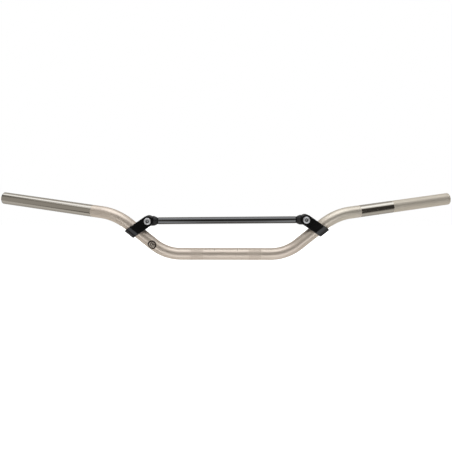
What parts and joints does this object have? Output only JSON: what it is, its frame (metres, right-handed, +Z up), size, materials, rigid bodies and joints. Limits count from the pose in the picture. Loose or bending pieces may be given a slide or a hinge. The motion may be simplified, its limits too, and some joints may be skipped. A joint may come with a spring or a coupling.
{
  "type": "off-road motorcycle handlebar",
  "caption": "Bent alloy motorcycle handlebar with raised, swept-back grips and a black crossbar bolted between two clamps on its legs.",
  "frame": {"origin": "middle of the centre straight, on the main tube's axis, midway between the two stem clamps that hold it", "axes": "+X along the centre straight towards the clutch-side end, +Y backwards towards the rider, +Z up, square to the centre straight in the plane of the legs"},
  "size_m": [0.8494, 0.0833, 0.1215],
  "materials": {
    "champagne_alloy": "satin champagne anodised tube with polished and knurled bands",
    "black_forging": "black anodised forging, smooth flat faces",
    "black_gloss": "gloss black anodised tube",
    "black_satin": "satin black turned alloy",
    "black_rubber": "matt black rubber ring",
    "bright_steel": "bright zinc plated steel",
    "washer_steel": "plain zinc plated steel",
    "sleeve_steel": "plain turned steel"
  },
  "bodies": {
    "bar": {"main_tube": "champagne_alloy"},
    "clamp_left": {"clamp_left_front": "black_forging", "clamp_left_rear": "black_forging", "pivot_bolt_left": "bright_steel", "pivot_nut_left": "bright_steel", "head_washer_left": "washer_steel", "nut_washer_left": "washer_steel"},
    "crossbar": {"crossbar_tube": "black_gloss", "crossbar_end_left": "black_satin", "crossbar_end_right": "black_satin", "crossbar_ring_left": "black_rubber", "crossbar_ring_right": "black_rubber", "pivot_sleeve_left": "sleeve_steel", "pivot_sleeve_right": "sleeve_steel"},
    "clamp_right": {"clamp_right_front": "black_forging", "clamp_right_rear": "black_forging", "pivot_bolt_right": "bright_steel", "pivot_nut_right": "bright_steel", "head_washer_right": "washer_steel", "nut_washer_right": "washer_steel"}
  },
  "joints": [
    {"name": "clamp_left_slide", "type": "slide", "parent": "bar", "child": "clamp_left", "axis": [0.7782, 0, -0.628], "range_m": [-0.0062, 0.0018]},
    {"name": "crossbar_pivot", "type": "hinge", "parent": "clamp_left", "child": "crossbar", "pos_m": [-0.14113, 0, 0.06016], "axis": [0, -1, 0], "range_deg": [-1.6, 0.5]},
    {"name": "clamp_right_slide", "type": "slide", "parent": "bar", "child": "clamp_right", "axis": [0.7782, 0, 0.628], "range_m": [-0.0063, 0.0019]}
  ],
  "couplings": [
    {"joint": "crossbar_pivot", "follows": "clamp_left_slide", "rad_per_m": 4.3962},
    {"joint": "clamp_right_slide", "follows": "clamp_left_slide", "ratio": 1}
  ]
}
